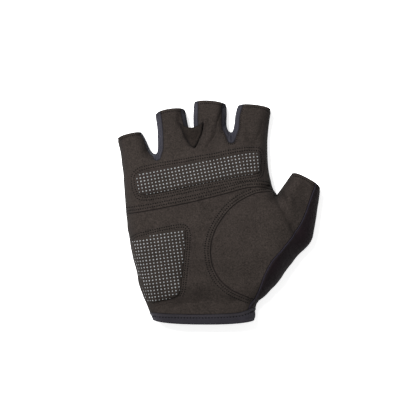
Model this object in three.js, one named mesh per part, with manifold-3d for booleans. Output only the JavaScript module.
// A right-hand fingerless cycling glove, lying on its back with the palm up.
// Millimetres. +Z is up, +Y runs from the wrist to the fingertips and +X points to the thumb's side.
// The origin is on the surface that the glove lies on, under the middle of its outline.
import * as THREE from "three";
import { mergeVertices } from "three/addons/utils/BufferGeometryUtils.js";
import Module from "manifold-3d";

const wasm = await Module();
wasm.setup();

// Driving dimensions
const GLOVE_LENGTH = 160.6; // wrist edge to the middle finger's hem
const GLOVE_WIDTH = 145.5; // little finger's outer side to the thumb's outer side
const PALM_HEIGHT = 24; // over the middle of the hand
const FINGER_HEIGHT = 17; // over the four finger stalls
const THUMB_HEIGHT = 18; // over the thumb's stall
const CUFF_HEIGHT = 18; // over the wrist opening
const EDGE_HEIGHT = 7; // of the glove's widest line
const SIDE_SEAM_HEIGHT = 5.5; // of the seam between the palm side and the back
const WALL = 1.2; // suede and knit alike
const SEAM_GAP = 0.3; // left between two panels that are sewn together
const LAY_CLEARANCE = 0.3; // left under a piece that lies on a panel
const PAD_THICKNESS = 1.5; // of the two grip pads
const BINDING_PROUD = 0.5; // by which the wrist binding stands out on either side of the wall
const PIPING_WIDTH = 1.2;
const PIPING_THICKNESS = 0.6;
const TAB_THICKNESS = 1.2;
const TAB_SAG = 1.6; // of the pull tab between the two fingers that it joins
const TAB_DIP = 2.4; // of the pull tab's top edge towards the palm
// How far the middle of each hem stands out past its corners
const HEM_BULGES = { little: 2.9, ring: 5, middle: 4.2, index: 3.7 };
const THUMB_HEM_BULGE = 3.5;
const CUFF_BULGE = 4.8; // the same for the wrist edge
const CUFF_BULGE_REACH = 0.3; // share of the way from the wrist to the finger roots over which it fades out
const HEM_SQUARENESS = 2.8; // the power of each hem's arch: 2 is round, and more is flatter with quick ends
const CUFF_SQUARENESS = 2.4;
const TAB_SQUARENESS = 2;
const FOURCHETTE_REACH = 5; // from the bottom of a finger gap to the palm panel's edge below it

// How finely the surface is divided
const COLUMNS = 7; // across each finger
const WRIST_ROWS = 8; // from the wrist to the thumb's root
const KNUCKLE_ROWS = 4; // from the thumb's root to the finger roots
const FINGER_ROWS = 3;
const FINGER_ROWS_CROWD = 1.4; // the power by which those rows crowd together at the finger's root
const THUMB_ROWS = 7;
const TAB_ROWS = 5;
const TAB_COLUMNS = 6;
const SEAM_STEPS = 18; // along a seam

// Places in plan are shares of the glove's width and length, from its lower left corner.
// A table's rows run along the piece that it describes, and its first line names its columns.
function table(columns, ...rows) {
  return rows.map((row) => Object.fromEntries(columns.map((name, i) => [name, row[i]])));
}

// Sections of the four fingers, from the root to the hem: the left edge and the right edge
const FINGERS = {
  little: table(
    ["leftX", "leftY", "rightX", "rightY"],
    [0.019, 0.735, 0.186, 0.765],
    [0.015, 0.76, 0.173, 0.771],
    [0.01, 0.785, 0.158, 0.791],
    [0.004, 0.805, 0.143, 0.823],
    [0.0, 0.823, 0.126, 0.852],
  ),
  ring: table(
    ["leftX", "leftY", "rightX", "rightY"],
    [0.186, 0.765, 0.366, 0.843],
    [0.193, 0.774, 0.359, 0.85],
    [0.195, 0.798, 0.353, 0.879],
    [0.193, 0.87, 0.345, 0.91],
    [0.186, 0.924, 0.339, 0.944],
  ),
  middle: table(
    ["leftX", "leftY", "rightX", "rightY"],
    [0.366, 0.843, 0.557, 0.861],
    [0.373, 0.852, 0.548, 0.869],
    [0.373, 0.879, 0.541, 0.892],
    [0.371, 0.937, 0.541, 0.937],
    [0.373, 0.98, 0.54, 0.969],
  ),
  index: table(
    ["leftX", "leftY", "rightX", "rightY"],
    [0.557, 0.861, 0.741, 0.78],
    [0.566, 0.869, 0.742, 0.815],
    [0.573, 0.897, 0.744, 0.848],
    [0.579, 0.937, 0.751, 0.915],
    [0.588, 0.969, 0.757, 0.951],
  ),
};

// The hand below the fingers: its outer edge, three lines down from the finger gaps,
// and the index finger's side down to the root of the thumb
const HAND_LINES = {
  littleSide: table(
    ["x", "y"],
    [0.166, 0.031],
    [0.116, 0.157],
    [0.064, 0.345],
    [0.04, 0.507],
    [0.029, 0.646],
    [0.019, 0.735],
  ),
  littleToRing: table(["x", "y"], [0.267, 0.031], [0.218, 0.377], [0.186, 0.765]),
  ringToMiddle: table(["x", "y"], [0.421, 0.031], [0.381, 0.422], [0.366, 0.843]),
  middleToIndex: table(["x", "y"], [0.564, 0.031], [0.569, 0.422], [0.557, 0.861]),
  indexSide: table(
    ["x", "y"],
    [0.787, 0.582],
    [0.766, 0.614],
    [0.75, 0.673],
    [0.743, 0.735],
    [0.741, 0.78],
  ),
};
const THUMB_ROOT_SHARE = 0.74; // of the way from the wrist to the finger roots

// The thumb: its outer edge from the wrist to the hem, and its inner edge from the root to the hem
const THUMB_OUTER = table(
  ["x", "y"],
  [0.678, 0.031],
  [0.686, 0.085],
  [0.698, 0.105],
  [0.738, 0.138],
  [0.807, 0.211],
  [0.881, 0.3],
  [0.921, 0.336],
  [0.955, 0.374],
  [0.973, 0.435],
  [0.99, 0.534],
  [1.0, 0.601],
);
const THUMB_INNER = table(["x", "y"], [0.787, 0.582], [0.822, 0.628], [0.855, 0.671]);

// Seams in plan. Each runs a little past the piece that it cuts.
const PALM_SEAM = table(
  ["x", "y"],
  [-0.02, 0.487],
  [0.045, 0.495],
  [0.149, 0.509],
  [0.351, 0.545],
  [0.465, 0.57],
  [0.559, 0.592],
  [0.621, 0.608],
  [0.668, 0.614],
  [0.716, 0.614],
  [0.78, 0.605],
);
const THUMB_BALL_SEAM = table(
  ["x", "y"],
  [0.792, 0.599],
  [0.733, 0.594],
  [0.683, 0.588],
  [0.621, 0.563],
  [0.564, 0.527],
  [0.52, 0.481],
  [0.48, 0.42],
  [0.46, 0.356],
  [0.46, 0.305],
  [0.472, 0.256],
  [0.503, 0.206],
  [0.55, 0.166],
  [0.599, 0.141],
  [0.639, 0.126],
  [0.7, 0.109],
);
const PIPING_SEAM = table(
  ["x", "y"],
  [0.985, 0.68],
  [0.972, 0.628],
  [0.946, 0.556],
  [0.917, 0.484],
  [0.874, 0.413],
  [0.819, 0.348],
  [0.764, 0.292],
  [0.725, 0.229],
  [0.7, 0.17],
  [0.681, 0.127],
  [0.653, 0.081],
  [0.629, 0.03],
);
const WRIST_SEAM = table(
  ["x", "y"],
  [0.1, 0.049],
  [0.158, 0.045],
  [0.307, 0.041],
  [0.465, 0.04],
  [0.582, 0.045],
  [0.639, 0.056],
  [0.72, 0.07],
);
const THUMB_BACK_SEAM = table(
  ["x", "y"],
  [0.787, 0.62],
  [0.787, 0.574],
  [0.718, 0.413],
  [0.668, 0.22],
  [0.639, 0.02],
);

// The three finger gaps, with the widths of the side strip that shows on either side, in millimetres
const FOURCHETTES = table(
  ["name", "before", "after", "leftWidth", "rightWidth"],
  ["fourchette_little_ring", "little", "ring", 1.6, 4.3],
  ["fourchette_ring_middle", "ring", "middle", 4.3, 4.3],
  ["fourchette_middle_index", "middle", "index", 4.3, 4.3],
);

// Outlines of the two raised grip pads
const KNUCKLE_PAD = table(
  ["x", "y"],
  [0.095, 0.665],
  [0.145, 0.688],
  [0.292, 0.713],
  [0.465, 0.741],
  [0.609, 0.767],
  [0.69, 0.769],
  [0.705, 0.745],
  [0.707, 0.715],
  [0.7, 0.684],
  [0.68, 0.671],
  [0.579, 0.656],
  [0.381, 0.62],
  [0.223, 0.589],
  [0.126, 0.578],
  [0.102, 0.6],
  [0.094, 0.635],
);
const HEEL_PAD = table(
  ["x", "y"],
  [0.08, 0.372],
  [0.158, 0.401],
  [0.228, 0.416],
  [0.297, 0.428],
  [0.332, 0.424],
  [0.338, 0.386],
  [0.331, 0.3],
  [0.319, 0.206],
  [0.308, 0.148],
  [0.285, 0.124],
  [0.223, 0.108],
  [0.158, 0.106],
  [0.12, 0.19],
  [0.094, 0.287],
);

// The pull tab, from its tip on the palm to its top edge across the finger gap
const PULL_TAB = table(
  ["leftX", "leftY", "rightX", "rightY"],
  [0.373, 0.792, 0.381, 0.792],
  [0.356, 0.805, 0.39, 0.805],
  [0.342, 0.83, 0.402, 0.83],
  [0.323, 0.861, 0.416, 0.861],
  [0.312, 0.895, 0.427, 0.899],
);

// Mounds and hollows of the palm, each a smooth bump: place, reach either way, turn and rise
const MOUNDS = table(
  ["name", "x", "y", "reachX", "reachY", "turn", "rise"],
  ["ball of the thumb", 0.713, 0.354, 0.17, 0.17, 0, 2.4],
  ["heel of the hand", 0.2, 0.28, 0.13, 0.15, 0, 1.2],
  ["hollow above the wrist", 0.42, 0.16, 0.13, 0.1, 0, -2.2],
  ["hollow under the fingers", 0.42, 0.66, 0.24, 0.05, 10, 0.6],
  ["ring finger root", 0.27, 0.775, 0.05, 0.05, 0, -0.5],
  ["middle finger root", 0.47, 0.83, 0.05, 0.05, 0, -0.6],
  ["index finger root", 0.65, 0.815, 0.06, 0.05, 0, -0.6],
  ["thumb crease", 0.845, 0.47, 0.025, 0.11, 28, -1.3],
);

const FINGER_NAMES = Object.keys(FINGERS);
const HEIGHT_SECTIONS = table(
  ["at", "height"],
  [0, CUFF_HEIGHT],
  [0.36, PALM_HEIGHT],
  [0.62, PALM_HEIGHT],
  [0.88, FINGER_HEIGHT],
);
const THUMB_STARTS = 0.8; // share of the width where the height turns to the thumb's
const THUMB_FULL = 0.94;

// Plain helpers
const place = (x, y) => new THREE.Vector3(x * GLOVE_WIDTH, y * GLOVE_LENGTH, 0);
const curveThrough = (points) => new THREE.CatmullRomCurve3(points, false, "catmullrom", 0.5);
const curveOf = (rows) => curveThrough(rows.map((row) => place(row.x, row.y)));
const leftOf = (rows) => curveThrough(rows.map((row) => place(row.leftX, row.leftY)));
const rightOf = (rows) => curveThrough(rows.map((row) => place(row.rightX, row.rightY)));
const clamp = THREE.MathUtils.clamp;
const smooth = (t) => THREE.MathUtils.smoothstep(t, 0, 1);
const dome = (t, power) => Math.pow(1 - Math.pow(Math.abs(2 * t - 1), power), 1 / power);
const quarterRound = (t) => Math.sqrt(1 - Math.pow(1 - clamp(t, 0, 1), 2));
const steps = (count) => Array.from({ length: count + 1 }, (_, i) => i / count);
const steepSteps = (count) => steps(count).map((t) => (1 - Math.cos(Math.PI * t)) / 2);
const last = (list) => list[list.length - 1];

// The plan of the hand: rows of points from the wrist to the finger roots, finger by finger.
// Below the thumb's root the right-hand edge is the straight line where the thumb joins the hand.
const wristCorner = place(THUMB_OUTER[0].x, THUMB_OUTER[0].y);
const thumbRoot = place(THUMB_INNER[0].x, THUMB_INNER[0].y);
const thumbJoin = steepSteps(WRIST_ROWS);

function handLines() {
  const share = [
    ...thumbJoin.map((t) => t * THUMB_ROOT_SHARE),
    ...steps(KNUCKLE_ROWS).slice(1).map((t) => THUMB_ROOT_SHARE + t * (1 - THUMB_ROOT_SHARE)),
  ];
  const along = (rows) => share.map((t) => curveOf(rows).getPointAt(t));
  const right = [
    ...thumbJoin.map((t) => wristCorner.clone().lerp(thumbRoot, t)),
    ...steps(KNUCKLE_ROWS).slice(1).map((t) => curveOf(HAND_LINES.indexSide).getPointAt(t)),
  ];
  const names = ["littleSide", "littleToRing", "ringToMiddle", "middleToIndex"];
  const lines = [...names.map((name) => along(HAND_LINES[name])), right];
  return { share, lines };
}

// Rows of points between two edges. Every row is as long as both edges' points ask.
function between(leftPoints, rightPoints, across) {
  return leftPoints.map((left, i) => across.map((t) => left.clone().lerp(rightPoints[i], t)));
}

// The last row of a stall is pushed out in its middle, and the rows before it less and less
function bulgeHem(rows, across, bulge) {
  const hem = last(rows);
  const chord = last(hem).clone().sub(hem[0]).normalize();
  const root = rows[0][0].clone().add(last(rows[0])).multiplyScalar(0.5);
  const middle = hem[0].clone().add(last(hem)).multiplyScalar(0.5);
  const outward = new THREE.Vector3(-chord.y, chord.x, 0);
  outward.multiplyScalar(Math.sign(outward.dot(middle.sub(root))));
  rows.forEach((row, i) => {
    const share = Math.pow(i / (rows.length - 1), 2);
    row.forEach((point, j) => {
      point.addScaledVector(outward, bulge * share * dome(across[j], HEM_SQUARENESS));
    });
  });
}

function planGrids() {
  const across = steepSteps(COLUMNS);
  const { share, lines } = handLines();
  const hand = FINGER_NAMES.map((name, k) => between(lines[k], lines[k + 1], across));
  hand.forEach((rows) =>
    rows.forEach((row, i) => {
      const fade = clamp(1 - share[i] / CUFF_BULGE_REACH, 0, 1);
      const from = lines[0][i].x;
      const span = last(lines)[i].x - from;
      row.forEach((point) => {
        const t = clamp((point.x - from) / span, 0, 1);
        point.y -= CUFF_BULGE * fade * dome(t, CUFF_SQUARENESS);
      });
    }),
  );
  const up = steps(FINGER_ROWS).map((t) => Math.pow(t, FINGER_ROWS_CROWD));
  const fingers = FINGER_NAMES.map((name) => {
    const left = up.map((t) => leftOf(FINGERS[name]).getPointAt(t));
    const right = up.map((t) => rightOf(FINGERS[name]).getPointAt(t));
    const rows = between(left, right, across);
    bulgeHem(rows, across, HEM_BULGES[name]);
    return rows;
  });
  const outer = steps(THUMB_ROWS).map((t) => curveOf(THUMB_OUTER).getPointAt(t));
  const inner = steps(THUMB_ROWS).map((t) => curveOf(THUMB_INNER).getPointAt(t));
  const thumb = between(outer, inner, thumbJoin);
  bulgeHem(thumb, thumbJoin, THUMB_HEM_BULGE);
  return { hand, fingers, thumb };
}

// The glove's side edges in plan, where its palm side turns over into its back
function sideEdges({ hand, fingers, thumb }) {
  const first = (rows) => rows.map((row) => row[0]);
  const end = (rows) => rows.map(last);
  return [
    first(hand[0]),
    end(last(hand)).slice(WRIST_ROWS),
    ...fingers.flatMap((rows) => [first(rows), end(rows)]),
    first(thumb),
    end(thumb),
  ];
}

const grids = planGrids();
const edges = sideEdges(grids);
const edgeSegments = edges.flatMap((edge) =>
  edge.slice(1).map((point, i) => new THREE.Line3(edge[i], point)),
);

function distanceToEdge(point) {
  const nearest = new THREE.Vector3();
  const flat = new THREE.Vector3(point.x, point.y, 0);
  return Math.min(
    ...edgeSegments.map((segment) =>
      segment.closestPointToPoint(flat, true, nearest).distanceTo(flat),
    ),
  );
}

// The height of the palm side's middle, before mounds, from a place in plan
function crownHeight(x, y) {
  const at = y / GLOVE_LENGTH;
  const after = HEIGHT_SECTIONS.findIndex((section) => section.at > at);
  const k = after === -1 ? HEIGHT_SECTIONS.length - 1 : Math.max(after, 1);
  const low = HEIGHT_SECTIONS[k - 1];
  const high = HEIGHT_SECTIONS[k];
  const hand = low.height + (high.height - low.height) * smooth((at - low.at) / (high.at - low.at));
  const toThumb = smooth((x / GLOVE_WIDTH - THUMB_STARTS) / (THUMB_FULL - THUMB_STARTS));
  return hand + (THUMB_HEIGHT - hand) * toThumb;
}

function moundRise(x, y) {
  return MOUNDS.reduce((sum, mound) => {
    const turn = THREE.MathUtils.degToRad(mound.turn);
    const dx = x - mound.x * GLOVE_WIDTH;
    const dy = y - mound.y * GLOVE_LENGTH;
    const u = (dx * Math.cos(turn) + dy * Math.sin(turn)) / (mound.reachX * GLOVE_WIDTH);
    const v = (dy * Math.cos(turn) - dx * Math.sin(turn)) / (mound.reachY * GLOVE_LENGTH);
    return sum + mound.rise * Math.exp(-(u * u + v * v));
  }, 0);
}

function topHeight(point) {
  const distance = distanceToEdge(point);
  const crown = crownHeight(point.x, point.y);
  const round = quarterRound(distance / (crown / 2));
  const mound = moundRise(point.x, point.y) * smooth(distance / (crown / 2));
  return EDGE_HEIGHT + (crown - EDGE_HEIGHT) * round + mound;
}

function backHeight(point) {
  return EDGE_HEIGHT * (1 - quarterRound(distanceToEdge(point) / EDGE_HEIGHT));
}

// The glove's outer surface: one skin over the palm side and the back, open at the wrist and hems
function skin() {
  const found = new Map();
  const plan = [];
  const indexOf = (point) => {
    const key = `${point.x.toFixed(3)},${point.y.toFixed(3)}`;
    if (!found.has(key)) {
      found.set(key, plan.length);
      plan.push(point);
    }
    return found.get(key);
  };
  const cells = [];
  const addCells = (rows, turned) =>
    rows.slice(1).forEach((row, i) =>
      row.slice(1).forEach((_, j) => {
        const corners = [rows[i][j], rows[i][j + 1], row[j + 1], row[j]].map(indexOf);
        const [a, b, c, d] = turned ? corners.reverse() : corners;
        cells.push([a, b, c], [a, c, d]);
      }),
    );
  [...grids.hand, ...grids.fingers].forEach((rows) => addCells(rows, false));
  addCells(grids.thumb, true);
  const onEdge = new Set(edges.flat().map(indexOf));
  const points = plan.map((point) => new THREE.Vector3(point.x, point.y, topHeight(point)));
  const below = plan.map((point, i) => {
    if (onEdge.has(i)) return i;
    points.push(new THREE.Vector3(point.x, point.y, backHeight(point)));
    return points.length - 1;
  });
  const back = cells.map(([a, b, c]) => [below[c], below[b], below[a]]);
  return { points, triangles: [...cells, ...back], cells };
}

const glove = skin();

function skinNormals() {
  const geometry = new THREE.BufferGeometry().setFromPoints(glove.points);
  geometry.setIndex(glove.triangles.flat());
  geometry.computeVertexNormals();
  const normal = geometry.getAttribute("normal");
  return glove.points.map((_, i) => new THREE.Vector3().fromBufferAttribute(normal, i));
}

const normals = skinNormals();

function solidFrom(points, triangles) {
  return new wasm.Manifold(
    new wasm.Mesh({
      numProp: 3,
      vertProperties: Float32Array.from(points.flatMap((point) => point.toArray())),
      triVerts: Uint32Array.from(triangles.flat()),
    }),
  );
}

// A closed layer of the glove between two distances from its outer surface, positive outwards.
// Where it would reach below the surface that the glove lies on, it is pressed flat.
function layer(outside, inside) {
  const { points, triangles } = glove;
  const offset = (distance) =>
    points.map((point, i) => {
      const moved = point.clone().addScaledVector(normals[i], distance);
      moved.z = Math.max(moved.z, 0);
      return moved;
    });
  const count = points.length;
  const used = new Set(triangles.flatMap(([a, b, c]) => [`${a},${b}`, `${b},${c}`, `${c},${a}`]));
  const rim = triangles
    .flatMap(([a, b, c]) => [[a, b], [b, c], [c, a]])
    .filter(([a, b]) => !used.has(`${b},${a}`))
    .flatMap(([a, b]) => [[b, a, a + count], [b, a + count, b + count]]);
  const innerSide = triangles.map(([a, b, c]) => [c + count, b + count, a + count]);
  return solidFrom([...offset(outside), ...offset(inside)], [...triangles, ...innerSide, ...rim]);
}

// A prism that stands on an outline in plan
function prism(outline, bottom, top) {
  const shape = new THREE.Shape(outline.map((point) => new THREE.Vector2(point.x, point.y)));
  const geometry = new THREE.ExtrudeGeometry(shape, { depth: top - bottom, bevelEnabled: false });
  geometry.translate(0, 0, bottom);
  geometry.deleteAttribute("normal");
  geometry.deleteAttribute("uv");
  const merged = mergeVertices(geometry, 1e-5);
  const position = merged.getAttribute("position");
  const points = Array.from({ length: position.count }, (_, i) =>
    new THREE.Vector3().fromBufferAttribute(position, i),
  );
  const index = Array.from(merged.index.array);
  const triangles = Array.from({ length: index.length / 3 }, (_, i) => index.slice(3 * i, 3 * i + 3));
  return solidFrom(points, triangles);
}

// A line in plan that runs beside another one, to its left where the distance is positive
function beside(points, distance) {
  return points.map((point, i) => {
    const before = points[Math.max(i - 1, 0)];
    const after = points[Math.min(i + 1, points.length - 1)];
    const run = after.clone().sub(before).normalize();
    return point.clone().add(new THREE.Vector3(-run.y, run.x, 0).multiplyScalar(distance));
  });
}

function curtain(points, width, bottom, top) {
  const outline = [...beside(points, width / 2), ...beside(points, -width / 2).reverse()];
  return prism(outline, bottom, top);
}

const seamPoints = (rows) => curveOf(rows).getSpacedPoints(SEAM_STEPS);

// A finger gap's seam: down beside one finger, round below the gap and up beside the next finger
function fourchetteSeam({ before, after, leftWidth, rightWidth }) {
  const down = rightOf(FINGERS[before]).getSpacedPoints(6);
  const up = leftOf(FINGERS[after]).getSpacedPoints(6);
  const past = (points) => {
    const [end, inner] = [last(points), points[points.length - 2]];
    return end.clone().add(end.clone().sub(inner).setLength(2 * HEM_BULGES[after]));
  };
  const left = beside([...down, past(down)], leftWidth);
  const right = beside([...up, past(up)], -rightWidth);
  const bottom = down[0].clone().add(new THREE.Vector3(0, -FOURCHETTE_REACH, 0));
  const turn = 2; // points skipped next to the gap's bottom, where the seam rounds the corner
  return curveThrough([...left.slice(turn).reverse(), bottom, ...right.slice(turn)]).getSpacedPoints(
    SEAM_STEPS,
  );
}

const SKY = 2 * PALM_HEIGHT; // over every piece
const GROUND = -EDGE_HEIGHT; // under every piece
const FAR = 2 * GLOVE_LENGTH; // past every side of the glove
const wristLine = seamPoints(WRIST_SEAM);
const pipingLine = seamPoints(PIPING_SEAM);

function overHand(line) {
  const start = line[0].clone().setX(-FAR);
  const end = last(line).clone().setX(GLOVE_WIDTH + FAR);
  return [start, ...line, end, end.clone().setY(FAR), start.clone().setY(FAR)];
}

const aboveWrist = prism(overHand(beside(wristLine, SEAM_GAP / 2)), GROUND, SKY);
const aboveBinding = prism(overHand(beside(wristLine, -SEAM_GAP / 2)), GROUND, SKY);
const palmSide = (points, width) => curtain(points, width, SIDE_SEAM_HEIGHT, SKY);

// The side seam lies level round the hand, as far as the piping
function sideSeam() {
  const outline = [
    pipingLine[0].clone().setY(FAR),
    ...pipingLine,
    last(pipingLine).clone().setY(-FAR),
    new THREE.Vector3(-FAR, -FAR, 0),
    new THREE.Vector3(-FAR, FAR, 0),
  ];
  return prism(outline, SIDE_SEAM_HEIGHT - SEAM_GAP / 2, SIDE_SEAM_HEIGHT + SEAM_GAP / 2);
}

const palmSeams = [
  palmSide(seamPoints(PALM_SEAM), SEAM_GAP),
  palmSide(seamPoints(THUMB_BALL_SEAM), SEAM_GAP),
  palmSide(pipingLine, SEAM_GAP),
  ...FOURCHETTES.map((row) => palmSide(fourchetteSeam(row), SEAM_GAP)),
];
const backSeam = curtain(seamPoints(THUMB_BACK_SEAM), SEAM_GAP, GROUND, SIDE_SEAM_HEIGHT);
const panels = [sideSeam(), backSeam, ...palmSeams].reduce(
  (rest, seam) => rest.subtract(seam),
  layer(0, -WALL).intersect(aboveWrist),
);

// The panel that lies nearest to a place given as shares of the glove, on its palm side or back
const pieces = panels.decompose();
function panelAt({ x, y, side }) {
  const probe = place(x, y);
  probe.z = side === "palm" ? topHeight(probe) : backHeight(probe);
  const nearest = pieces.map((piece) => {
    const { vertProperties } = piece.getMesh();
    let least = Infinity;
    for (let i = 0; i < vertProperties.length; i += 3) {
      least = Math.min(least, probe.distanceTo(new THREE.Vector3().fromArray(vertProperties, i)));
    }
    return least;
  });
  return pieces[nearest.indexOf(Math.min(...nearest))];
}

const layOn = (outline, thickness) =>
  layer(LAY_CLEARANCE + thickness, LAY_CLEARANCE).intersect(
    prism(outline, EDGE_HEIGHT + thickness, SKY),
  );

const padOutline = (rows) =>
  new THREE.CatmullRomCurve3(rows.map((row) => place(row.x, row.y)), true, "catmullrom", 0.5)
    .getSpacedPoints(2 * SEAM_STEPS)
    .slice(1);

function piping() {
  return layer(LAY_CLEARANCE + PIPING_THICKNESS, LAY_CLEARANCE)
    .intersect(aboveWrist)
    .intersect(palmSide(pipingLine, PIPING_WIDTH));
}

// The height of the faceted palm side over a place in plan
function facetHeight(x, y) {
  const triangle = new THREE.Triangle();
  const weights = new THREE.Vector3();
  const flat = (i) => glove.points[i].clone().setZ(0);
  const probe = new THREE.Vector3(x, y, 0);
  for (const [a, b, c] of glove.cells) {
    triangle.set(flat(a), flat(b), flat(c));
    if (triangle.containsPoint(probe)) {
      triangle.getBarycoord(probe, weights);
      const heights = [a, b, c].map((i) => glove.points[i].z);
      return weights.x * heights[0] + weights.y * heights[1] + weights.z * heights[2];
    }
  }
  return EDGE_HEIGHT;
}

// The pull tab lies over the gap between the ring and middle fingers and hangs a little between them
function pullTab() {
  const left = leftOf(PULL_TAB).getSpacedPoints(TAB_ROWS);
  const right = rightOf(PULL_TAB).getSpacedPoints(TAB_ROWS);
  const rows = between(left, right, steps(TAB_COLUMNS));
  const under = rows.map((row, i) => {
    const share = i / TAB_ROWS;
    row.forEach((point, j) => {
      point.y -= TAB_DIP * share * dome(j / TAB_COLUMNS, TAB_SQUARENESS);
    });
    const heights = row.map((point) => facetHeight(point.x, point.y));
    return row.map((point, j) => {
      const t = j / TAB_COLUMNS;
      const hang = TAB_SAG * share * 4 * t * (1 - t);
      const stretched = heights[0] * (1 - t) + last(heights) * t - hang;
      const z = Math.max(stretched, heights[j]) + 2 * LAY_CLEARANCE;
      return new THREE.Vector3(point.x, point.y, z);
    });
  });
  const wide = TAB_COLUMNS + 1;
  const bottom = under.flat();
  const top = bottom.map((point) => point.clone().add(new THREE.Vector3(0, 0, TAB_THICKNESS)));
  const count = bottom.length;
  const triangles = [];
  for (let i = 0; i < TAB_ROWS; i += 1) {
    for (let j = 0; j < TAB_COLUMNS; j += 1) {
      const [a, b] = [i * wide + j, i * wide + j + 1];
      const [c, d] = [b + wide, a + wide];
      triangles.push([a + count, b + count, c + count], [a + count, c + count, d + count]);
      triangles.push([c, b, a], [d, c, a]);
    }
  }
  const around = [
    ...steps(TAB_COLUMNS).map((_, j) => j),
    ...steps(TAB_ROWS).slice(1).map((_, i) => (i + 1) * wide + TAB_COLUMNS),
    ...steps(TAB_COLUMNS).slice(1).map((_, j) => TAB_ROWS * wide + TAB_COLUMNS - 1 - j),
    ...steps(TAB_ROWS).slice(2).map((_, i) => (TAB_ROWS - 1 - i) * wide),
  ];
  around.forEach((a, i) => {
    const b = around[(i + 1) % around.length];
    triangles.push([a, b, b + count], [a, b + count, a + count]);
  });
  return solidFrom([...bottom, ...top], triangles);
}

// Materials
const MATERIALS = {
  suede: { color: 0x3e3936, roughness: 0.95, metalness: 0 },
  dottedSuede: { color: 0x55504d, roughness: 0.9, metalness: 0 },
  stretchFabric: { color: 0x3b3b43, roughness: 0.85, metalness: 0 },
  knit: { color: 0x211d23, roughness: 0.9, metalness: 0 },
  trim: { color: 0x37323e, roughness: 0.8, metalness: 0 },
};

const panel = (x, y, side) => panelAt({ x, y, side });
const PARTS = [
  ["palm_upper", "suede", panel(0.4, 0.66, "palm")],
  ["palm_lower", "suede", panel(0.3, 0.35, "palm")],
  ["thumb_palm", "suede", panel(0.7, 0.4, "palm")],
  ["fourchette_little_ring", "stretchFabric", panel(0.186, 0.765, "palm")],
  ["fourchette_ring_middle", "stretchFabric", panel(0.366, 0.843, "palm")],
  ["fourchette_middle_index", "stretchFabric", panel(0.557, 0.861, "palm")],
  ["back_panel", "knit", panel(0.4, 0.5, "back")],
  ["thumb_back", "knit", panel(0.85, 0.45, "back")],
  ["cuff_binding", "stretchFabric", layer(BINDING_PROUD, -WALL - BINDING_PROUD).subtract(aboveBinding)],
  ["knuckle_pad", "dottedSuede", layOn(padOutline(KNUCKLE_PAD), PAD_THICKNESS)],
  ["heel_pad", "dottedSuede", layOn(padOutline(HEEL_PAD), PAD_THICKNESS)],
  ["pull_tab", "suede", pullTab()],
  ["thumb_piping", "trim", piping()],
];

function meshOf(name, material, solid) {
  const { vertProperties, triVerts } = solid.getMesh();
  const geometry = new THREE.BufferGeometry();
  geometry.setAttribute("position", new THREE.BufferAttribute(Float32Array.from(vertProperties), 3));
  geometry.setIndex(Array.from(triVerts));
  const mesh = new THREE.Mesh(geometry, new THREE.MeshStandardMaterial(MATERIALS[material]));
  mesh.name = name;
  return mesh;
}

const cyclingGlove = new THREE.Group();
PARTS.forEach(([name, material, solid]) => cyclingGlove.add(meshOf(name, material, solid)));

// The origin goes under the middle of the outline, on the surface that the glove lies on
const box = new THREE.Box3().setFromObject(cyclingGlove);
const middle = box.getCenter(new THREE.Vector3());
cyclingGlove.position.set(-middle.x, -middle.y, -box.min.z);

export default cyclingGlove;
